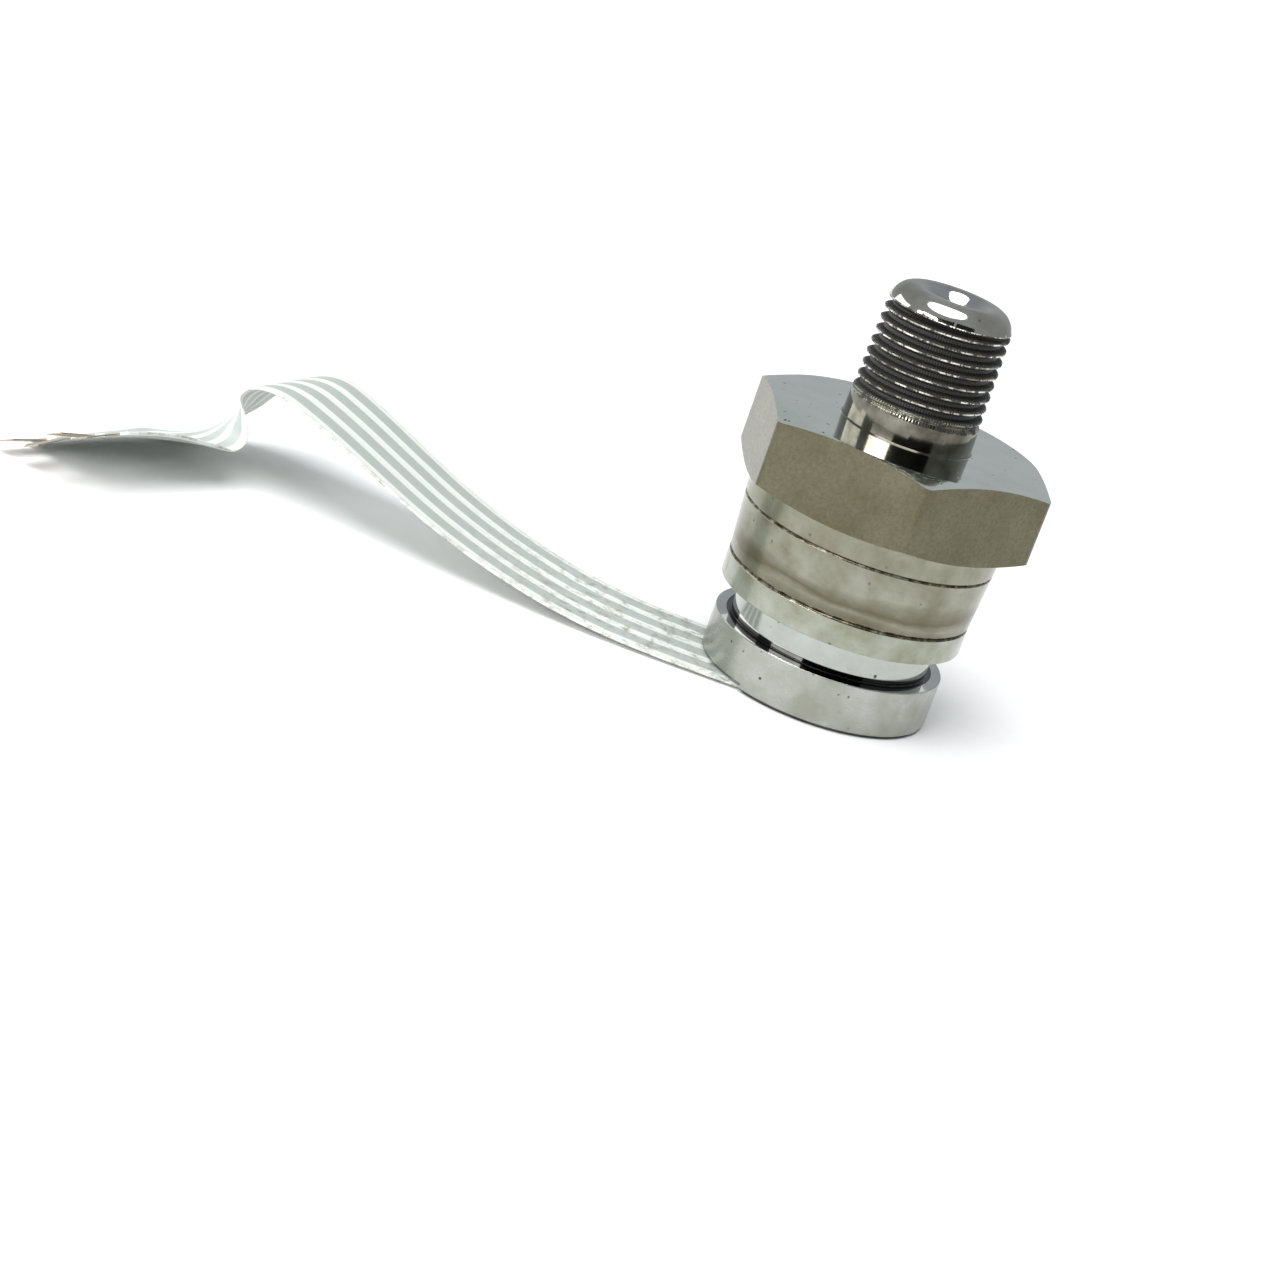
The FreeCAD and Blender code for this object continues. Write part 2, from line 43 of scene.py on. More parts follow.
# ---------------------------------------------------------------- sizes, in millimetres
# Round features are given by their diameters, and heights start at the rear rim.
RING = 19.0
RING_TOP = 4.1
RIM_CHAMFER = 0.3
GROOVE = 16.5
GROOVE_TOP = 6.9
# The band of painted shade at the groove's foot: its width on the ring top and its height up the
# groove wall.
FOOT_SHADE_WIDTH = 0.4
FOOT_SHADE_HEIGHT = 0.45
FLANGE = 20.0
CELL_FRONT = 9.05
RECESS = 16.6
RECESS_TOP = 2.6
HEADER_POCKET = 11.1
HEADER_TOP = 7.6
HEADER_SEAT = 9.2
OIL_BORE = 15.2
OIL_FLOOR = 8.45
SLEEVE_REAR = 20.0
SLEEVE_FRONT = 20.6
SLEEVE_END = 13.8
SLEEVE_BORE = 17.3
SEAM_DEPTH = 0.12
SEAM_REACH = 0.16
PLUG_GAP = 0.05
PLUG_END = 9.85
CHAMBER = 14.0
CHAMBER_TOP = 10.35
COLLAR = 20.7
HEX_BASE = 15.8
HEX_TOP = 22.15
HEX_FLATS = 22.2
HEX_CHAMFER = 0.62
HEX_CORNER_ROUND = 0.8
HEX_SECTOR = math.radians(60)
HEX_TURN = math.radians(44)
TOP_HOLD = 0.25
NECK = 10.56
TAPER = 1 / 16
ROOT_CHAMFER = 0.08
PORT_FACE = 33.4
NOSE_CHAMFER = 1.35
NOSE_DOME = ((0.3, 0.62), (0.75, 1.1))
PORT_BORE = 3.2
PORT_MOUTH = 5.2
BORE_END = 11.35
BORE_FLARE = 7.0
PITCH = 25.4 / 27
THREAD_DEPTH = 0.5
THREAD_START = 24.1
THREAD_END = PORT_FACE - NOSE_CHAMFER
THREAD_RUNOUT = 1.2 * PITCH
THREAD_LEAD = 0.5 * PITCH
FILM_WIDTH = 11.0
FILM_THICKNESS = 0.3
FILM_RAISED = 0.045
FILM_EDGE_ROUND = 0.12
CONDUCTORS = 4
STRIP_PITCH = 2.54
STRIP_WIDTH = 1.57
STRIP_SLOPE = 0.12
STRIP_THICKNESS = 0.1
TIP_LENGTH = 3.5
NOTCH_HEIGHT = 0.7
NOTCH_SIDE = 5.75
NOTCH_OVERRUN = 0.5
NOTCH_CLEARANCE = 1.0

# How far each outline's corners are rounded, in millimetres.
SEAM_ROUND = 0.05
CELL_ROUND = 0.07
NECK_ROUND = 0.12
NOSE_ROUND = 0.45

# How finely the meshes are divided, and where they are welded or creased.
AZIMUTHS_PER_FLAT = 44
CORNER_CROWDING = 0.75
THREAD_SHARES = (0.0, 0.03, 0.06, 0.11, 0.19, 0.27, 0.33, 0.36, 0.5, 0.64, 0.67, 0.73, 0.81,
                 0.89, 0.94, 0.97)
FILM_STEPS = 88
ROUTE_STEPS = 14
WELD_DISTANCE = 2e-7
SLIVER_LENGTH = 1e-7
STEEL_CREASE = math.radians(40)
FILM_CREASE = math.radians(60)

# How much each bare tip climbs for its length.
TIP_CLIMBS = (0.05, -0.12, 0.1, -0.04)

# The cable's route in metres and the directions of its width: the part's own, but for the tail,
# which lies up to 1.1 mm higher and is tilted more steeply.
ROUTE = [
    (-0.0052, -0.0022, 0.0003), (-0.0122, -0.0026, 0.0003), (-0.0194, -0.0025, 0.0007),
    (-0.0260, -0.0018, 0.0018), (-0.0320, -0.0010, 0.0034), (-0.0374, -0.0001, 0.0054),
    (-0.0422, 0.0008, 0.0072), (-0.0466, 0.0016, 0.0085), (-0.0500, 0.0020, 0.0069),
    (-0.0515, 0.0009, 0.0037), (-0.0530, -0.0016, 0.0017), (-0.0551, -0.0056, 0.0021),
    (-0.0572, -0.0100, 0.0026), (-0.0591, -0.0143, 0.0027),
]
WIDTHS = [
    (-0.03, -1, 0), (-0.05, -1, 0), (-0.08, -1, 0), (-0.11, -0.99, 0), (-0.14, -0.99, 0),
    (-0.17, -0.98, 0), (-0.22, -0.97, 0), (-0.28, -0.96, 0), (-0.2, -0.98, 0.05),
    (0.12, -0.98, 0.1), (0.5, -0.86, 0.18), (0.74, -0.6, 0.33), (0.8, -0.42, 0.43),
    (0.8, -0.38, 0.46),
]


# ---------------------------------------------------------------- shader helpers
# Where a mix node keeps its two colours and their blend.
MIX_FIRST, MIX_SECOND, MIX_RESULT = 6, 7, 2


class Shader:
    """A material's node tree, with a position in millimetres to build patterns from."""

    def __init__(self, name):
        self.material = bpy.data.materials.new(name)
        self.material.use_nodes = True
        self.tree = self.material.node_tree
        self.surface = self.tree.nodes["Principled BSDF"]
        place = self.tree.nodes.new("ShaderNodeTexCoord")
        self.uv = place.outputs["UV"]
        scaled = self.tree.nodes.new("ShaderNodeVectorMath")
        scaled.operation = "SCALE"
        scaled.inputs["Scale"].default_value = 1 / MM
        self.tree.links.new(place.outputs["Object"], scaled.inputs[0])
        self.place = scaled.outputs[0]

    def link(self, source, socket):
        """Feed a socket from another one, or give it a fixed value."""
        if isinstance(source, (int, float, tuple)):
            socket.default_value = source
        else:
            self.tree.links.new(source, socket)

    def maths(self, operation, first, second=0.0, clamp=False):
        """One step of arithmetic."""
        node = self.tree.nodes.new("ShaderNodeMath")
        node.operation = operation
        node.use_clamp = clamp
        self.link(first, node.inputs[0])
        self.link(second, node.inputs[1])
        return node.outputs[0]

    def split(self, vector):
        """A vector's three parts."""
        node = self.tree.nodes.new("ShaderNodeSeparateXYZ")
        self.link(vector, node.inputs[0])
        return node.outputs

    def join(self, x, y, z):
        """A vector from three parts."""
        node = self.tree.nodes.new("ShaderNodeCombineXYZ")
        for source, socket in zip((x, y, z), node.inputs):
            self.link(source, socket)
        return node.outputs[0]

    def noise(self, scale, detail, roughness, vector=None):
        """Cloudy noise. Its scale is in spots for each millimetre, unless a vector is given."""
        node = self.tree.nodes.new("ShaderNodeTexNoise")
        self.link(vector or self.place, node.inputs["Vector"])
        node.inputs["Scale"].default_value = scale
        node.inputs["Detail"].default_value = detail
        node.inputs["Roughness"].default_value = roughness
        return node.outputs["Fac"]

    def cells(self, scale):
        """The distance to the nearest of many scattered points."""
        node = self.tree.nodes.new("ShaderNodeTexVoronoi")
        self.link(self.place, node.inputs["Vector"])
        node.inputs["Scale"].default_value = scale
        return node.outputs["Distance"]

    def ramp(self, factor, stops):
        """A smooth ramp through (position, grey or colour) stops."""
        node = self.tree.nodes.new("ShaderNodeValToRGB")
        elements = node.color_ramp.elements
        while len(elements) < len(stops):
            elements.new(0.5)
        for element, (position, colour) in zip(elements, stops):
            element.position = position
            shade = (colour,) * 3 if isinstance(colour, (int, float)) else colour
            element.color = (*shade, 1.0)
        self.link(factor, node.inputs[0])
        return node.outputs["Color"]

    def mix(self, factor, first, second):
        """A blend of two colours."""
        node = self.tree.nodes.new("ShaderNodeMix")
        node.data_type = "RGBA"
        self.link(factor, node.inputs[0])
        for source, place in ((first, MIX_FIRST), (second, MIX_SECOND)):
            self.link((*source, 1.0) if isinstance(source, tuple) else source, node.inputs[place])
        return node.outputs[MIX_RESULT]

    def bump(self, height, strength, distance):
        """Add a bump of a distance in millimetres over what is already there."""
        node = self.tree.nodes.new("ShaderNodeBump")
        node.inputs["Strength"].default_value = strength
        node.inputs["Distance"].default_value = distance * MM
        self.link(height, node.inputs["Height"])
        normal = self.surface.inputs["Normal"]
        if normal.is_linked:
            self.link(normal.links[0].from_socket, node.inputs["Normal"])
        self.link(node.outputs[0], normal)

    def from_axis(self, x, y):
        """The distance from the part's axis."""
        squares = self.maths("ADD", self.maths("MULTIPLY", x, x), self.maths("MULTIPLY", y, y))
        return self.maths("SQRT", squares)

    def turned(self, along, across):
        """A vector that is stretched round the axis, for turning marks."""
        x, y, z = self.split(self.place)
        angle = self.maths("ARCTAN2", y, x)
        height = self.maths("ADD", z, self.from_axis(x, y))
        return self.join(self.maths("MULTIPLY", self.maths("SINE", angle), along),
                         self.maths("MULTIPLY", self.maths("COSINE", angle), along),
                         self.maths("MULTIPLY", height, across))


# ---------------------------------------------------------------- materials
# Noise takes a scale, a detail and a roughness. A ramp takes (position, grey) stops.
GRIME_COLOUR = (0.05, 0.045, 0.035)
PIT_COLOUR = (0.03, 0.03, 0.03)
MARK_WEAR = 0.7
SMUDGE_WEAR = 0.9
CHATTER_MARKS = 130.0


def steel(name, colour, roughness, mark_depth, tint, grime=0.0, grain=0.0, pits=0.0):
    """Turned stainless steel: marks, stains of a second tint, specks of grime, pits and grain."""
    shader = Shader(name)
    surface = shader.surface
    surface.inputs["Metallic"].default_value = 1.0
    marks = shader.noise(1.0, 3.0, 0.7, shader.turned(3.0, 14.0))
    cloud = shader.noise(0.35, 5.0, 0.6)
    stain = shader.ramp(cloud, [(0.36, 0.0), (0.66, 1.0)])
    shade = shader.mix(stain, colour, tint)
    if grime:
        specks = shader.ramp(shader.noise(2.6, 6.0, 0.7), [(0.62, 0.0), (0.72, grime)])
        shade = shader.mix(specks, shade, GRIME_COLOUR)
    if pits:
        chosen = shader.ramp(shader.noise(0.5, 2.0, 0.5), [(0.46, 0.0), (0.56, pits)])
        spots = shader.ramp(shader.cells(0.8), [(0.06, 1.0), (0.13, 0.0)])
        holes = shader.maths("MULTIPLY", chosen, spots)
        shade = shader.mix(holes, shade, PIT_COLOUR)
        shader.bump(shader.maths("SUBTRACT", 1.0, holes), 0.6, 0.04)
    shader.link(shade, surface.inputs["Base Color"])
    worn = shader.maths("MULTIPLY", shader.maths("SUBTRACT", marks, 0.5), MARK_WEAR)
    smudge = shader.maths("MULTIPLY", shader.maths("SUBTRACT", cloud, 0.5), SMUDGE_WEAR)
    change = shader.maths("ADD", shader.maths("ADD", worn, smudge), 1.0)
    shader.link(shader.maths("MULTIPLY", change, roughness, clamp=True),
                surface.inputs["Roughness"])
    shader.bump(marks, 0.35, mark_depth)
    if grain:
        shader.bump(shader.noise(4.0, 5.0, 0.7), 0.7, grain)
    return shader


def ground_steel():
    """The hexagon's sides: satin and finely grained all over, their dark khaki a painted reflection.
    """
    shader = Shader("flat_steel")
    surface = shader.surface
    surface.inputs["Metallic"].default_value = 1.0
    grain = shader.noise(3.2, 4.0, 0.7)
    cloud = shader.noise(0.25, 4.0, 0.6)
    # Painted reflection: the dark khaki tones stand in for the dim brownish surroundings that the
    # sides reflect.
    shade = shader.mix(shader.ramp(cloud, [(0.35, 0.0), (0.65, 1.0)]), (0.165, 0.152, 0.103),
                       (0.13, 0.117, 0.073))
    shade = shader.mix(shader.ramp(grain, [(0.42, 0.0), (0.6, 0.3)]), shade, (0.07, 0.065, 0.045))
    shader.link(shade, surface.inputs["Base Color"])
    shader.link(shader.maths("ADD", 0.2, shader.maths("MULTIPLY", grain, 0.14)),
                surface.inputs["Roughness"])
    shader.bump(grain, 0.5, 0.035)
    return shader


def plain_steels():
    """The finishes that the turned pieces share."""
    return {
        "ring": steel("ring_steel", (0.42, 0.43, 0.4), 0.3, 0.006, tint=(0.32, 0.325, 0.275),
                      grime=0.25, grain=0.004, pits=0.9),
        "mirror": steel("mirror_steel", (0.66, 0.67, 0.66), 0.05, 0.0005,
                        tint=(0.58, 0.59, 0.58)),
        # Painted light: the top's base colour is raised near white, far above the other steels, so
        # the top face reads lighter.
        "top": steel("hexagon_top_steel", (0.93, 0.97, 0.9), 0.09, 0.0008,
                     tint=(0.84, 0.88, 0.81), grime=0.5, pits=1.0),
        "flange": steel("flange_steel", (0.4, 0.42, 0.36), 0.22, 0.005, tint=(0.27, 0.27, 0.2),
                        grime=0.3, grain=0.003, pits=0.6),
        "collar": steel("collar_steel", (0.3, 0.3, 0.235), 0.2, 0.005, tint=(0.21, 0.2, 0.145),
                        grime=0.3, grain=0.003, pits=0.5),
        # Painted shade: the neck is darkened to stand in for the dark surroundings that it reflects.
        "neck": steel("neck_steel", (0.2, 0.19, 0.16), 0.1, 0.003, tint=(0.06, 0.055, 0.04),
                      grime=0.6),
        "flats": ground_steel(),
    }


def sleeve_steel():
    """The sleeve: turned steel with dark, warm streaks of weld tint, mostly in its rear half."""
    streaks_start = CELL_FRONT + 0.4
    streaks_length = 5.6
    wander_reach = 2.6
    shader = steel("sleeve_steel", (0.32, 0.32, 0.26), 0.22, 0.006, tint=(0.21, 0.2, 0.145),
                   grime=0.35, grain=0.004, pits=0.5)
    height = shader.split(shader.place)[2]
    wander = shader.noise(1.0, 4.0, 0.6, shader.turned(0.9, 0.35))
    shifted = shader.maths("ADD", height, shader.maths("MULTIPLY", wander, wander_reach))
    position = shader.maths("DIVIDE", shader.maths("SUBTRACT", shifted, streaks_start),
                            streaks_length)
    streak = shader.ramp(position, [
        (0.0, 0.0), (0.16, 0.75), (0.3, 0.15), (0.4, 0.9), (0.52, 0.5), (0.62, 0.05), (1.0, 0.0),
    ])
    base = shader.surface.inputs["Base Color"]
    clean = base.links[0].from_socket
    shader.link(shader.mix(streak, clean, (0.12, 0.105, 0.065)), base)
    return shader


def depth_below_crests(shader, x, y, z):
    """How far a place is below the thread's crests: 0 at them and 1 at the roots."""
    fall = shader.maths("MULTIPLY", shader.maths("SUBTRACT", z, HEX_TOP), TAPER / 2)
    taper_line = shader.maths("SUBTRACT", NECK / 2, fall)
    below = shader.maths("SUBTRACT", taper_line, shader.from_axis(x, y))
    return shader.maths("DIVIDE", below, THREAD_DEPTH)


def thread_blackening(shader, depth):
    """Where the thread turns black: towards its roots, and in clots of grime over them."""
    uneven = shader.maths("SUBTRACT", shader.noise(1.3, 5.0, 0.65), 0.5)
    toward_roots = shader.maths("ADD", depth, shader.maths("MULTIPLY", uneven, 0.7))
    clots = shader.ramp(shader.noise(1.4, 5.0, 0.7), [(0.5, 0.0), (0.545, 0.95)])
    return shader.maths("MAXIMUM", shader.ramp(toward_roots, [(0.16, 0.0), (0.36, 1.0)]), clots)


def thread_crest_highlight(shader, depth, z):
    """Painted highlight on the crests: in patches, and only on threads cut to full height."""
    crest = shader.maths("MULTIPLY", shader.ramp(depth, [(0.03, 1.0), (0.12, 0.0)]),
                         shader.ramp(shader.noise(0.45, 4.0, 0.6), [(0.42, 0.0), (0.56, 1.0)]))
    cut = shader.maths("SUBTRACT", z, THREAD_START + PITCH, clamp=True)
    return shader.maths("MULTIPLY", crest, cut)


def thread_steel():
    """The thread: painted highlights on its crests, black towards its roots and in clots of grime.
    """
    shader = steel("thread_steel", (0.24, 0.232, 0.19), 0.21, 0.006, tint=(0.1, 0.092, 0.066),
                   grime=0.6, grain=0.004)
    x, y, z = shader.split(shader.place)
    depth = depth_below_crests(shader, x, y, z)
    # Black towards the roots by depth, and in clots of grime.
    dirt = thread_blackening(shader, depth)
    base = shader.surface.inputs["Base Color"]
    clean = base.links[0].from_socket
    # Painted highlight: the crests are lightened to near white in patches.
    bright = shader.mix(thread_crest_highlight(shader, depth, z), clean, (0.82, 0.8, 0.72))
    shader.link(shader.mix(dirt, bright, (0.012, 0.011, 0.009)), base)
    shader.link(shader.maths("SUBTRACT", 1.0, dirt), shader.surface.inputs["Metallic"])
    rough = shader.surface.inputs["Roughness"]
    polished = rough.links[0].from_socket
    shader.link(shader.maths("ADD", polished, shader.maths("MULTIPLY", dirt, 0.35)), rough)
    round_axis = shader.maths("MULTIPLY", shader.maths("ARCTAN2", y, x), CHATTER_MARKS)
    shader.bump(shader.maths("SINE", round_axis), 0.5, 0.025)
    return shader


def seam_dirt():
    """The narrow weld seams: dark dirt, with bright metal showing through it in spots."""
    shader = Shader("seam_dirt")
    spots = shader.noise(1.3, 5.0, 0.7)
    shader.link(shader.ramp(spots, [(0.38, (0.05, 0.038, 0.025)), (0.5, (0.13, 0.105, 0.07)),
                                    (0.66, (0.4, 0.38, 0.32))]),
                shader.surface.inputs["Base Color"])
    shader.link(shader.maths("MULTIPLY", spots, 0.6), shader.surface.inputs["Roughness"])
    shader.surface.inputs["Metallic"].default_value = 0.8
    return shader


def conductor_mask(shader, across):
    """One where a conductor lies under the film, and nothing between them."""
    offset = shader.maths("MULTIPLY", shader.maths("SUBTRACT", across, 0.5), FILM_WIDTH)
    within = shader.maths("FRACT", shader.maths("DIVIDE", offset, STRIP_PITCH))
    from_strip = shader.maths("ABSOLUTE", shader.maths("SUBTRACT", within, 0.5))
    strip = shader.ramp(shader.maths("MULTIPLY", from_strip, STRIP_PITCH / STRIP_WIDTH),
                        [(0.44, 1.0), (0.53, 0.0)])
    inside = shader.maths("LESS_THAN", shader.maths("ABSOLUTE", offset),
                          CONDUCTORS / 2 * STRIP_PITCH)
    return shader.maths("MULTIPLY", strip, inside)


def film_dirt(shader, across, along):
    """Smears on the film: near the cell and along both edges."""
    near_cell = shader.maths("MULTIPLY", shader.ramp(along, [(0.1, 1.0), (0.3, 0.0)]),
                             shader.ramp(shader.noise(1.1, 6.0, 0.7), [(0.5, 0.0), (0.68, 0.8)]))
    edge = shader.ramp(shader.maths("ABSOLUTE", shader.maths("SUBTRACT", across, 0.5)),
                       [(0.46, 0.0), (0.5, 1.0)])
    patches = shader.ramp(shader.noise(0.8, 5.0, 0.7), [(0.45, 0.0), (0.62, 0.75)])
    return shader.maths("MAXIMUM", near_cell, shader.maths("MULTIPLY", edge, patches))


def film_plastic():
    """The cable's white film, with the grey of its conductors showing through it."""
    shader = Shader("cable_film_plastic")
    across, along, _ = shader.split(shader.uv)
    cloud = shader.noise(0.5, 5.0, 0.6)
    grey = shader.mix(cloud, (0.4, 0.44, 0.41), (0.47, 0.51, 0.48))
    colour = shader.mix(conductor_mask(shader, across), (0.76, 0.79, 0.74), grey)
    colour = shader.mix(film_dirt(shader, across, along), colour, (0.2, 0.185, 0.15))
    shader.link(colour, shader.surface.inputs["Base Color"])
    shader.link(shader.maths("ADD", 0.28, shader.maths("MULTIPLY", cloud, 0.25)),
                shader.surface.inputs["Roughness"])
    shader.surface.inputs["Specular IOR Level"].default_value = 0.5
    shader.surface.inputs["Subsurface Weight"].default_value = 0.08
    shader.surface.inputs["Subsurface Scale"].default_value = 0.0004
    shader.bump(shader.noise(1.6, 3.0, 0.5), 0.3, 0.03)
    return shader


def speckled(name, first, second, roughness, scale, metallic, depth=0.01):
    """A plain material with a fine two-tone grain, of a depth in millimetres."""
    shader = Shader(name)
    grain = shader.noise(scale, 6.0, 0.65)
    shader.link(shader.mix(shader.ramp(grain, [(0.35, 0.0), (0.65, 1.0)]), first, second),
                shader.surface.inputs["Base Color"])
    shader.link(shader.maths("ADD", roughness, shader.maths("MULTIPLY", grain, 0.15)),
                shader.surface.inputs["Roughness"])
    shader.surface.inputs["Metallic"].default_value = metallic
    shader.bump(grain, 0.4, depth)
    return shader


# ---------------------------------------------------------------- turned meshes
def azimuths():
    """Directions round the axis, closer together at the hexagon's corners."""
    whole = 2 * math.pi
    found = []
    for flat in range(6):
        for step in range(AZIMUTHS_PER_FLAT):
            share = step / AZIMUTHS_PER_FLAT
            crowded = share - CORNER_CROWDING * math.sin(whole * share) / whole
            found.append(HEX_TURN + HEX_SECTOR * (flat + crowded))
    return found


AZIMUTHS = azimuths()


def circle_row(radius, height):
    """One ring of points round the axis."""
    return [(radius * math.cos(angle), radius * math.sin(angle), height) for angle in AZIMUTHS]


def rounded(outline, reach):
    """An outline of (radius, height, finish) points with its corners rounded off.

    A point is added on either side of each corner, so that the rounding's smooth shading stays
    off the faces beside it.
    """
    trim_share = 0.4
    hold_reach, hold_share = 1.6, 0.45
    softened = [outline[0]]
    for before, corner, after in zip(outline, outline[1:], outline[2:]):
        here = Vector(corner[:2])
        back = Vector(before[:2]) - here
        ahead = Vector(after[:2]) - here
        trim = min(reach, back.length * trim_share, ahead.length * trim_share)
        first = here + back.normalized() * trim
        last = here + ahead.normalized() * trim
        hold = here + back.normalized() * min(trim * hold_reach, back.length * hold_share)
        softened.append((hold.x, hold.y, before[2]))
        for share in (0.0, 0.25, 0.5, 0.75, 1.0):
            point = first.lerp(here, share).lerp(here.lerp(last, share), share)
            finish = before[2] if share < 0.5 else corner[2]
            softened.append((point.x, point.y, finish))
        hold = here + ahead.normalized() * min(trim * hold_reach, ahead.length * hold_share)
        softened.append((hold.x, hold.y, corner[2]))
    softened.append(outline[-1])
    return softened


def rows_of(outline):
    """Rings of points, each with the finish of the strip that follows it."""
    return [(circle_row(radius, height), finish) for radius, height, finish in outline]


class Skin:
    """A mesh built from rings of points, with one material slot for each finish."""

    def __init__(self, name, materials):
        self.name = name
        self.mesh = bmesh.new()
        self.materials = materials
        self.finishes = list(materials)

    def quad(self, corners, finish):
        """One smooth face with a finish."""
        face = self.mesh.faces.new(corners)
        face.material_index = self.finishes.index(finish)
        face.smooth = True

    def strip(self, lower, upper, finish):
        """The faces between two rings."""
        count = len(lower)
        for index in range(count):
            following = (index + 1) % count
            corners = (lower[index], lower[following], upper[following], upper[index])
            if len(set(corners)) == len(corners):
                self.quad(corners, finish)

    def ring(self, points):
        """The vertices of one ring of points in millimetres."""
        return [self.mesh.verts.new([part * MM for part in point]) for point in points]

    def rings(self, rows):
        """Join consecutive rings."""
        made = [self.ring(points) for points, _ in rows]
        for index in range(len(rows) - 1):
            self.strip(made[index], made[index + 1], rows[index][1])

    def finish(self):
        """Weld the skin, turn its faces outwards and make the object."""
        bmesh.ops.remove_doubles(self.mesh, verts=self.mesh.verts[:], dist=WELD_DISTANCE)
        bmesh.ops.dissolve_degenerate(self.mesh, edges=self.mesh.edges[:], dist=SLIVER_LENGTH)
        bmesh.ops.recalc_face_normals(self.mesh, faces=self.mesh.faces[:])
        data = bpy.data.meshes.new(self.name)
        self.mesh.to_mesh(data)
        self.mesh.free()
        for shader in self.materials.values():
            data.materials.append(shader.material)
        data.set_sharp_from_angle(angle=STEEL_CREASE)
        piece = bpy.data.objects.new(self.name, data)
        bpy.context.scene.collection.objects.link(piece)
        return piece


# ---------------------------------------------------------------- the fitting
def hexagon_radius(angle):
    """The distance from the axis to the hexagon's side, with its corners eased."""
    flat = HEX_FLATS / 2
    half = HEX_SECTOR / 2
    from_corner = (angle - HEX_TURN + half) % HEX_SECTOR - half
    from_flat = half - abs(from_corner)
    centre = (flat - HEX_CORNER_ROUND) / math.cos(half)
    tangent = math.atan((flat - HEX_CORNER_ROUND) * math.tan(half) / flat)
    if from_flat <= tangent:
        return flat / math.cos(from_flat)
    return centre * math.cos(from_corner) + math.sqrt(
        HEX_CORNER_ROUND ** 2 - (centre * math.sin(from_corner)) ** 2)


def hexagon_rows():
    """The hexagon's sides between its two turned chamfers."""
    flat = HEX_FLATS / 2
    corner = flat / math.cos(HEX_SECTOR / 2)
    lower = []
    upper = []
    for angle in AZIMUTHS:
        radius = hexagon_radius(angle)
        rise = HEX_CHAMFER * (radius - flat) / (corner - flat)
        x, y = radius * math.cos(angle), radius * math.sin(angle)
        lower.append((x, y, HEX_BASE + rise))
        upper.append((x, y, HEX_TOP - rise))
    return [(lower, "flats"), (upper, "top")]


def crest_radius(height):
    """The stub's taper at the crests of its thread."""
    start = HEX_TOP + ROOT_CHAMFER
    return NECK / 2 - (height - start) * TAPER / 2


def eased(share):
    """A smooth step from 0 to 1."""
    share = min(max(share, 0.0), 1.0)
    return share * share * (3 - 2 * share)


def thread_depth(share):
    """The groove's depth across one pitch: 0 on the crests and 1 in the root."""
    crest, root = 0.06, 0.36
    away = min(share, 1 - share)
    return min(max((away - crest) / (root - crest), 0.0), 1.0)


def thread_line(turn, share):
    """One turn of points along the thread, at a share of the pitch."""
    line = []
    for angle in AZIMUTHS:
        advance = (angle - AZIMUTHS[0]) / (2 * math.pi)
        height = THREAD_START + PITCH * (turn + share + advance)
        height = min(max(height, THREAD_START), THREAD_END)
        runout = eased((height - THREAD_START) / THREAD_RUNOUT)
        lead = eased((THREAD_END - height) / THREAD_LEAD)
        radius = crest_radius(height) - THREAD_DEPTH * thread_depth(share) * runout * lead
        line.append((radius * math.cos(angle), radius * math.sin(angle), height))
    return line


def add_thread(skin, finish):
    """The helical thread, which ends in a plain circle at either side."""
    turns = math.ceil((THREAD_END - THREAD_START) / PITCH) + 1
    lines = [skin.ring(thread_line(turn, share))
             for turn in range(-1, turns + 1) for share in THREAD_SHARES]
    per_turn = len(THREAD_SHARES)
    count = len(AZIMUTHS)
    for number in range(len(lines) - 1):
        lower, upper = lines[number], lines[number + 1]
        for index in range(count):
            following = (index + 1) % count
            jump = per_turn if following == 0 else 0
            if number + 1 + jump < len(lines):
                skin.quad((lower[index], lines[number + jump][following],
                           lines[number + 1 + jump][following], upper[index]), finish)


def fitting_below():
    """The outline from the pressure chamber's edge, round the plug, to the hexagon's base."""
    plug = SLEEVE_BORE / 2 - PLUG_GAP
    collar = COLLAR / 2
    return rounded([
        (CHAMBER / 2, PLUG_END, "ring"), (plug, PLUG_END, "ring"), (plug, SLEEVE_END, "seam"),
        (collar - SEAM_DEPTH, SLEEVE_END, "collar"), (collar, SLEEVE_END + SEAM_REACH, "collar"),
        (collar, HEX_BASE, "mirror"), (HEX_FLATS / 2, HEX_BASE, "mirror"),
    ], SEAM_ROUND)


def fitting_above():
    """The outline from the hexagon's top, up the neck, to the thread."""
    flat = HEX_FLATS / 2
    neck = NECK / 2
    return rounded([
        (flat, HEX_TOP, "top"), (flat - TOP_HOLD, HEX_TOP, "top"),
        (neck + ROOT_CHAMFER, HEX_TOP, "neck"), (neck, HEX_TOP + ROOT_CHAMFER, "neck"),
        (crest_radius(THREAD_START), THREAD_START, "neck"),
    ], NECK_ROUND)


def fitting_port():
    """The outline from the thread's end, over the domed nose and down the bore to the plug."""
    nose = crest_radius(THREAD_END)
    mouth, bore, chamber = PORT_MOUTH / 2, PORT_BORE / 2, CHAMBER / 2
    dome = [(nose - inward, THREAD_END + rise, "nose") for inward, rise in NOSE_DOME]
    return rounded([(nose, THREAD_END, "nose")] + dome + [
        (nose - NOSE_CHAMFER, PORT_FACE, "nose"), (mouth, PORT_FACE, "bore"),
        (bore, PORT_FACE - (mouth - bore), "bore"), (bore, BORE_END, "bore"),
        (BORE_FLARE / 2, CHAMBER_TOP, "bore"), (chamber, CHAMBER_TOP, "bore"),
        (chamber, PLUG_END, "bore"),
    ], NOSE_ROUND)


def make_fitting(steels):
    """The process fitting: plug, collar, hexagon, neck, thread, nose and port."""
    skin = Skin("threaded_fitting", steels)
    skin.rings(rows_of(fitting_below()) + hexagon_rows() + rows_of(fitting_above()))
    add_thread(skin, "thread")
    skin.rings(rows_of(fitting_port()))
    piece = skin.finish()
    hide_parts("process_fitting")
    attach(piece, "root")


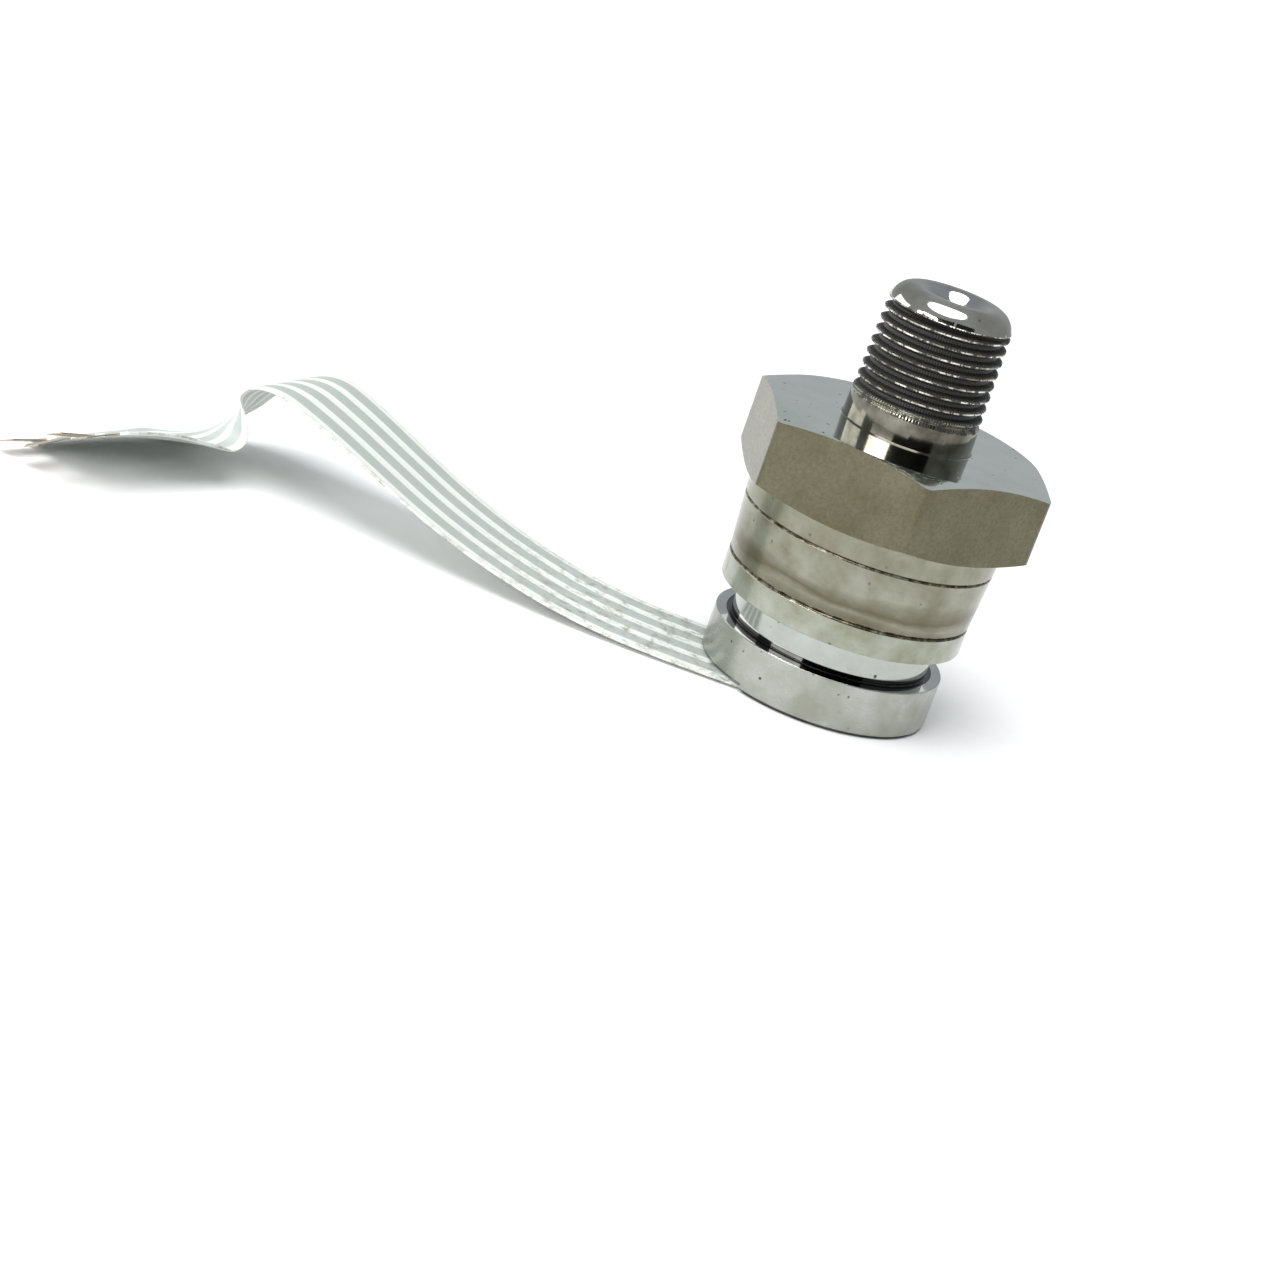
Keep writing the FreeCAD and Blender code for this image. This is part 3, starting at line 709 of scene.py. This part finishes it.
def make_sleeve(steels):
    """The sleeve between the two weld seams."""
    low, top, bore = SLEEVE_REAR / 2, SLEEVE_FRONT / 2, SLEEVE_BORE / 2
    skin = Skin("welded_sleeve", steels)
    skin.rings(rows_of(rounded([
        (bore, CELL_FRONT, "seam"), (low - SEAM_DEPTH, CELL_FRONT, "seam"),
        (low, CELL_FRONT + SEAM_REACH, "sleeve"), (top, SLEEVE_END - SEAM_REACH, "seam"),
        (top - SEAM_DEPTH, SLEEVE_END, "seam"), (bore, SLEEVE_END, "seam"),
        (bore, CELL_FRONT, "seam"),
    ], SEAM_ROUND)))
    piece = skin.finish()
    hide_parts("weld_sleeve")
    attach(piece, "root")


def cell_outline():
    """The cell's closed outline: rim, ring, groove, flange, oil space, header and recess."""
    ring, floor, flange, recess = RING / 2, GROOVE / 2, FLANGE / 2, RECESS / 2
    oil, seat, header = OIL_BORE / 2, HEADER_SEAT / 2, HEADER_POCKET / 2
    return rounded([
        (recess, RECESS_TOP, "ring"), (recess, 0.0, "ring"), (ring - RIM_CHAMFER, 0.0, "rim"),
        (ring, RIM_CHAMFER, "ring"), (ring, RING_TOP, "mirror"),
        # Painted shade: a near-black band at the groove's foot stands in for the dark reflection
        # there.
        (floor + FOOT_SHADE_WIDTH, RING_TOP, "foot"), (floor, RING_TOP, "foot"),
        (floor, RING_TOP + FOOT_SHADE_HEIGHT, "groove"), (floor, GROOVE_TOP, "mirror"),
        (flange, GROOVE_TOP, "flange"), (flange, CELL_FRONT - SEAM_REACH, "seam"),
        (flange - SEAM_DEPTH, CELL_FRONT, "seam"), (oil, CELL_FRONT, "ring"),
        (oil, OIL_FLOOR, "ring"), (seat, OIL_FLOOR, "ring"), (seat, HEADER_TOP, "ring"),
        (header, HEADER_TOP, "ring"), (header, RECESS_TOP, "ring"), (recess, RECESS_TOP, "ring"),
    ], CELL_ROUND)


def make_cell(steels):
    """The cell: rear ring, O-ring groove, front flange and the recess behind."""
    skin = Skin("sensor_cell", steels)
    skin.rings(rows_of(cell_outline()))
    piece = skin.finish()
    carve_notch(piece)
    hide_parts("cell_housing")
    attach(piece, "root")


def carve_notch(piece):
    """Cut the cable's notch through the rim on the -X side."""
    start, middle = (part / MM for part in ROUTE[0][:2])
    low = Vector((-2 * RING, middle - NOTCH_SIDE, -NOTCH_CLEARANCE)) * MM
    high = Vector((start + NOTCH_OVERRUN, middle + NOTCH_SIDE, NOTCH_HEIGHT)) * MM
    block = bmesh.new()
    bmesh.ops.create_cube(block, size=1.0)
    for vertex in block.verts:
        vertex.co = Vector((low[axis] if vertex.co[axis] < 0 else high[axis] for axis in range(3)))
    data = bpy.data.meshes.new("notch_block")
    block.to_mesh(data)
    block.free()
    cutter = bpy.data.objects.new("notch_block", data)
    bpy.context.scene.collection.objects.link(cutter)
    carving = piece.modifiers.new("notch", "BOOLEAN")
    carving.operation = "DIFFERENCE"
    carving.solver = "EXACT"
    carving.object = cutter
    bpy.context.view_layer.update()
    carved = bpy.data.meshes.new_from_object(
        piece.evaluated_get(bpy.context.evaluated_depsgraph_get()))
    piece.modifiers.clear()
    piece.data = carved
    bpy.data.objects.remove(cutter)


# ---------------------------------------------------------------- the flat cable
def route_curve(name, points):
    """A smooth curve that is steered by the cable's points."""
    data = bpy.data.curves.new(name, "CURVE")
    data.dimensions = "3D"
    data.resolution_u = ROUTE_STEPS
    spline = data.splines.new("NURBS")
    spline.points.add(len(points) - 1)
    for target, point in zip(spline.points, points):
        target.co = (*point, 1.0)
    spline.order_u = 3
    spline.use_endpoint_u = True
    line = bpy.data.objects.new(name, data)
    bpy.context.scene.collection.objects.link(line)
    return line


def curve_points(name, points):
    """The points along a smooth curve, read from the mesh that Blender makes of it."""
    line = route_curve(name, points)
    bpy.context.view_layer.update()
    graph = bpy.context.evaluated_depsgraph_get()
    traced = bpy.data.meshes.new_from_object(line.evaluated_get(graph))
    found = [vertex.co.copy() for vertex in traced.vertices]
    bpy.data.meshes.remove(traced)
    bpy.data.objects.remove(line)
    return found


def film_section():
    """The film's cross-section as (across, thickness, share) points, round the outline."""
    half = FILM_WIDTH / 2
    low = FILM_THICKNESS / 2 - FILM_RAISED
    thinnest = 0.25
    upper = []
    for step in range(FILM_STEPS + 1):
        share = step / FILM_STEPS
        offset = FILM_WIDTH * share - half
        strip = offset / STRIP_PITCH
        away = abs(strip - math.floor(strip) - 0.5) * STRIP_PITCH
        inside = abs(offset) < CONDUCTORS / 2 * STRIP_PITCH
        lift = eased((STRIP_WIDTH / 2 + STRIP_SLOPE - away) / (2 * STRIP_SLOPE)) if inside else 0.0
        past = max(0.0, (abs(offset) - half + FILM_EDGE_ROUND) / FILM_EDGE_ROUND)
        rim = math.sqrt(max(0.0, 1 - past ** 2))
        upper.append((offset, (low + FILM_RAISED * lift) * max(rim, thinnest), share))
    lower = [(offset, -height, share) for offset, height, share in reversed(upper)]
    return upper + lower


def film_frames(middles, edges):
    """The directions along, beside and above the film at each point of the route."""
    frames = []
    for index, middle in enumerate(middles):
        ahead = middles[min(index + 1, len(middles) - 1)]
        behind = middles[max(index - 1, 0)]
        along = (ahead - behind).normalized()
        side = edges[index] - middle
        side = (side - along * side.dot(along)).normalized()
        frames.append((along, side, along.cross(side)))
    return frames


def film_faces(mesh, rings, section):
    """The film's faces, mapped by their shares of its width and of its length."""
    layer = mesh.loops.layers.uv.new("film")
    last = len(rings) - 1
    for index in range(last):
        shares = (index / last, (index + 1) / last)
        for spot in range(len(section)):
            following = (spot + 1) % len(section)
            face = mesh.faces.new((rings[index][spot], rings[index][following],
                                   rings[index + 1][following], rings[index + 1][spot]))
            face.smooth = True
            places = ((spot, 0), (following, 0), (following, 1), (spot, 1))
            for loop, (place, end) in zip(face.loops, places):
                loop[layer].uv = (section[place][2], shares[end])
    for ring, end in ((rings[0], 0.0), (rings[last], 1.0)):
        face = mesh.faces.new(ring)
        for loop, (_, _, share) in zip(face.loops, section):
            loop[layer].uv = (share, end)


def make_ribbon():
    """The flat cable's film, along the route."""
    middles = curve_points("cable_route", ROUTE)
    edges = curve_points("cable_edge", [
        Vector(point) + Vector(width).normalized() * FILM_WIDTH * MM / 2
        for point, width in zip(ROUTE, WIDTHS)])
    frames = film_frames(middles, edges)
    section = film_section()
    mesh = bmesh.new()
    rings = [[mesh.verts.new(middle + (side * offset + up * height) * MM)
              for offset, height, _ in section]
             for middle, (_, side, up) in zip(middles, frames)]
    film_faces(mesh, rings, section)
    bmesh.ops.recalc_face_normals(mesh, faces=mesh.faces[:])
    data = bpy.data.meshes.new("flat_cable")
    mesh.to_mesh(data)
    mesh.free()
    data.materials.append(film_plastic().material)
    data.set_sharp_from_angle(angle=FILM_CREASE)
    ribbon = bpy.data.objects.new("flat_cable", data)
    bpy.context.scene.collection.objects.link(ribbon)
    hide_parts("cable_film")
    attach(ribbon, "root")
    return ribbon, middles, (middles[-1], *frames[-1])


def make_tips(end):
    """The bare conductors at the cable's far end."""
    middle, along, side, up = end
    mesh = bmesh.new()
    for strip, climb in enumerate(TIP_CLIMBS):
        centre = middle + side * (strip - (CONDUCTORS - 1) / 2) * STRIP_PITCH * MM
        block = bmesh.ops.create_cube(mesh, size=1.0)["verts"]
        for vertex in block:
            far = (vertex.co.x + 0.5) * TIP_LENGTH
            vertex.co = centre + (along * far + side * vertex.co.y * STRIP_WIDTH
                                  + up * (vertex.co.z * STRIP_THICKNESS + climb * far)) * MM
    data = bpy.data.meshes.new("bare_tips")
    mesh.to_mesh(data)
    mesh.free()
    copper = speckled("bare_copper", (0.6, 0.53, 0.44), (0.42, 0.33, 0.24), 0.36, 5.0, 1.0)
    data.materials.append(copper.material)
    tips = bpy.data.objects.new("bare_tips", data)
    bpy.context.scene.collection.objects.link(tips)
    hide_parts("cable_tips")
    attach(tips, "root")
    return tips


# ---------------------------------------------------------------- pieces that the CAD gives
# For each node: the material's name, its two tones, roughness, grain scale, metal and depth.
CAD_LOOKS = {
    "isolation_diaphragm": (
        "diaphragm_foil", (0.66, 0.66, 0.63), (0.52, 0.51, 0.47), 0.22, 3.0, 1.0, 0.003),
    "diaphragm_ring": (
        "ring_weld", (0.5, 0.48, 0.43), (0.34, 0.32, 0.27), 0.4, 4.0, 1.0, 0.01),
    "header_disc": (
        "header_plating", (0.55, 0.5, 0.4), (0.42, 0.38, 0.3), 0.35, 3.0, 1.0, 0.006),
    "header_pins": (
        "pin_plating", (0.75, 0.55, 0.22), (0.6, 0.42, 0.16), 0.25, 5.0, 1.0, 0.004),
    "glass_seals": (
        "seal_glass_look", (0.05, 0.1, 0.08), (0.08, 0.14, 0.12), 0.08, 6.0, 0.0, 0.003),
    "oil_filler": (
        "fired_ceramic", (0.78, 0.76, 0.7), (0.7, 0.67, 0.6), 0.6, 7.0, 0.0, 0.01),
    "die_pedestal": (
        "glass_pedestal", (0.5, 0.56, 0.55), (0.4, 0.46, 0.46), 0.12, 8.0, 0.0, 0.003),
    "sensor_die": (
        "etched_silicon", (0.16, 0.17, 0.2), (0.09, 0.1, 0.13), 0.14, 8.0, 0.6, 0.002),
    "vent_tube": (
        "drawn_tube", (0.62, 0.6, 0.55), (0.48, 0.46, 0.4), 0.28, 6.0, 1.0, 0.004),
    "fill_ball": (
        "pressed_ball", (0.72, 0.71, 0.68), (0.55, 0.54, 0.5), 0.12, 5.0, 1.0, 0.003),
    "board_spacer": (
        "moulded_spacer", (0.05, 0.05, 0.048), (0.08, 0.08, 0.076), 0.5, 6.0, 0.0, 0.01),
    "compensation_board": (
        "alumina_board", (0.8, 0.79, 0.75), (0.72, 0.7, 0.65), 0.5, 6.0, 0.0, 0.006),
    "chip_resistors": (
        "chip_body", (0.02, 0.02, 0.022), (0.05, 0.048, 0.045), 0.35, 9.0, 0.0, 0.004),
    "pin_solder": (
        "bright_solder", (0.66, 0.65, 0.62), (0.48, 0.47, 0.44), 0.2, 5.0, 1.0, 0.01),
    "cable_solder": (
        "joint_solder", (0.64, 0.63, 0.6), (0.46, 0.45, 0.42), 0.24, 5.0, 1.0, 0.01),
    "cable_leads": (
        "tinned_copper", (0.6, 0.55, 0.47), (0.5, 0.42, 0.32), 0.3, 5.0, 1.0, 0.006),
}


def dress_cad_nodes():
    """Give each carried-over sub-part its material."""
    for name, look in CAD_LOOKS.items():
        data = NODES[name].data
        data.materials.clear()
        data.materials.append(speckled(*look).material)


# ---------------------------------------------------------------- the studio
FLOOR_SIZE = 6.0
PAPER_ROUGHNESS = 0.9
CARD_CLOUDS = 0.8

# The camera that was fitted to the photograph: place in millimetres, direction, roll and lens.
CAMERA_PLACE = (0.0, -198.903, 69.625)
CAMERA_FORWARD = (-0.059045, 0.940707, -0.334042)
CAMERA_ROLL = math.radians(19.395)
CAMERA_LENS = 73.517
CAMERA_SHIFT = -0.018


def make_floor():
    """A wide pale floor."""
    bpy.ops.mesh.primitive_plane_add(size=FLOOR_SIZE, location=(0, 0, 0))
    floor = bpy.context.object
    floor.name = "studio_floor"
    shader = Shader("floor_paper")
    grain = shader.noise(0.8, 3.0, 0.5)
    shader.link(shader.mix(grain, (0.9, 0.9, 0.9), (0.93, 0.93, 0.93)),
                shader.surface.inputs["Base Color"])
    shader.surface.inputs["Roughness"].default_value = PAPER_ROUGHNESS
    floor.data.materials.append(shader.material)
    return floor


def make_lamp(name, place, target, across, high, power):
    """A soft rectangular light that faces a target."""
    data = bpy.data.lights.new(name, "AREA")
    data.shape = "RECTANGLE"
    data.size = across
    data.size_y = high
    data.energy = power
    lamp = bpy.data.objects.new(name, data)
    lamp.location = place
    lamp.rotation_euler = (Vector(target) - Vector(place)).to_track_quat("-Z", "Y").to_euler()
    lamp.visible_camera = False
    bpy.context.scene.collection.objects.link(lamp)
    return lamp


def make_sun(name, place, strength, spread):
    """A very soft sun, which lights the whole floor evenly."""
    data = bpy.data.lights.new(name, "SUN")
    data.energy = strength
    data.angle = math.radians(spread)
    lamp = bpy.data.objects.new(name, data)
    lamp.rotation_euler = (-Vector(place)).to_track_quat("-Z", "Y").to_euler()
    bpy.context.scene.collection.objects.link(lamp)
    return lamp


def make_card(name, place, target, across, high, shade):
    """A flat card that only reflections show."""
    bpy.ops.mesh.primitive_plane_add(size=1.0, location=place)
    card = bpy.context.object
    card.name = name
    card.scale = (across, high, 1.0)
    card.rotation_euler = (Vector(target) - Vector(place)).to_track_quat("Z", "Y").to_euler()
    shader = Shader(name + "_paper")
    grain = shader.noise(0.02, 3.0, 0.5)
    shader.link(shader.mix(grain, shade, tuple(CARD_CLOUDS * part for part in shade)),
                shader.surface.inputs["Base Color"])
    shader.surface.inputs["Roughness"].default_value = PAPER_ROUGHNESS
    card.data.materials.append(shader.material)
    card.visible_camera = False
    card.visible_shadow = False
    return card


def set_world(colour, strength):
    """An even light from all round."""
    world = bpy.data.worlds.new("studio_world")
    world.use_nodes = True
    backdrop = world.node_tree.nodes["Background"]
    backdrop.inputs["Color"].default_value = (*colour, 1.0)
    backdrop.inputs["Strength"].default_value = strength
    bpy.context.scene.world = world


def set_camera():
    """The camera, at the photograph's viewing angle."""
    forward = Vector(CAMERA_FORWARD).normalized()
    level = forward.cross(Vector((0, 0, 1))).normalized()
    upright = level.cross(forward)
    right = level * math.cos(CAMERA_ROLL) + upright * math.sin(CAMERA_ROLL)
    above = upright * math.cos(CAMERA_ROLL) - level * math.sin(CAMERA_ROLL)
    data = bpy.data.cameras.new("camera")
    data.sensor_width = 36.0
    data.lens = CAMERA_LENS
    data.shift_x = CAMERA_SHIFT
    data.clip_start = 0.01
    data.clip_end = 20.0
    camera = bpy.data.objects.new("camera", data)
    turn = Matrix((right, above, -forward)).transposed().to_4x4()
    camera.matrix_world = Matrix.Translation(Vector(CAMERA_PLACE) * MM) @ turn
    bpy.context.scene.collection.objects.link(camera)
    bpy.context.scene.camera = camera


# ---------------------------------------------------------------- the scene
steels = plain_steels()
sleeve = sleeve_steel()
thread = thread_steel()
seam = seam_dirt()
rim = steel("rim_steel", (0.14, 0.135, 0.12), 0.35, 0.006, tint=(0.06, 0.055, 0.045), grime=0.6,
            grain=0.004)
groove = steel("groove_steel", (0.46, 0.48, 0.45), 0.1, 0.001, tint=(0.38, 0.4, 0.37), grime=0.5,
               pits=1.0)
# Painted shade: near-black steel over the groove's foot, standing in for the dark reflection in that
# corner.
foot = steel("painted_groove_foot_shade", (0.05, 0.05, 0.048), 0.07, 0.001, tint=(0.03, 0.03, 0.028))
nose = steel("nose_steel", (0.6, 0.58, 0.53), 0.08, 0.002, tint=(0.42, 0.4, 0.35), grime=0.4,
             pits=0.5)
bore = steel("bore_steel", (0.6, 0.6, 0.6), 0.08, 0.003, tint=(0.45, 0.45, 0.45), grime=0.5)

make_fitting({
    "ring": steels["ring"], "seam": seam, "collar": steels["collar"], "mirror": steels["mirror"],
    "top": steels["top"], "flats": steels["flats"], "neck": steels["neck"], "thread": thread,
    "nose": nose, "bore": bore,
})
make_sleeve({"seam": seam, "sleeve": sleeve})
make_cell({
    "ring": steels["ring"], "rim": rim, "mirror": steels["mirror"], "foot": foot, "groove": groove,
    "flange": steels["flange"], "seam": seam,
})
dress_cad_nodes()
ribbon, ribbon_line, ribbon_end = make_ribbon()
make_tips(ribbon_end)

floor = make_floor()
sun = make_sun("soft_sun", place=(-0.1, -0.25, 1.0), strength=2.7, spread=50.0)
window = make_lamp("window_light", place=(-0.3, -0.4, 0.19), target=(0, 0, 0.02), across=0.4,
                   high=0.12, power=1.6)
side = make_lamp("side_light", place=(-0.5, 0.1, 0.12), target=(0, 0, 0.015), across=0.4,
                 high=0.2, power=0.6)
camera_card = make_card("camera_card", place=(0.1, -0.34, 0.14), target=(0, 0, 0.01), across=0.5,
                        high=0.24, shade=(0.008, 0.008, 0.009))
set_world(colour=(0.9, 0.96, 1.0), strength=0.42)
set_camera()
bpy.context.scene.view_settings.view_transform = "Standard"
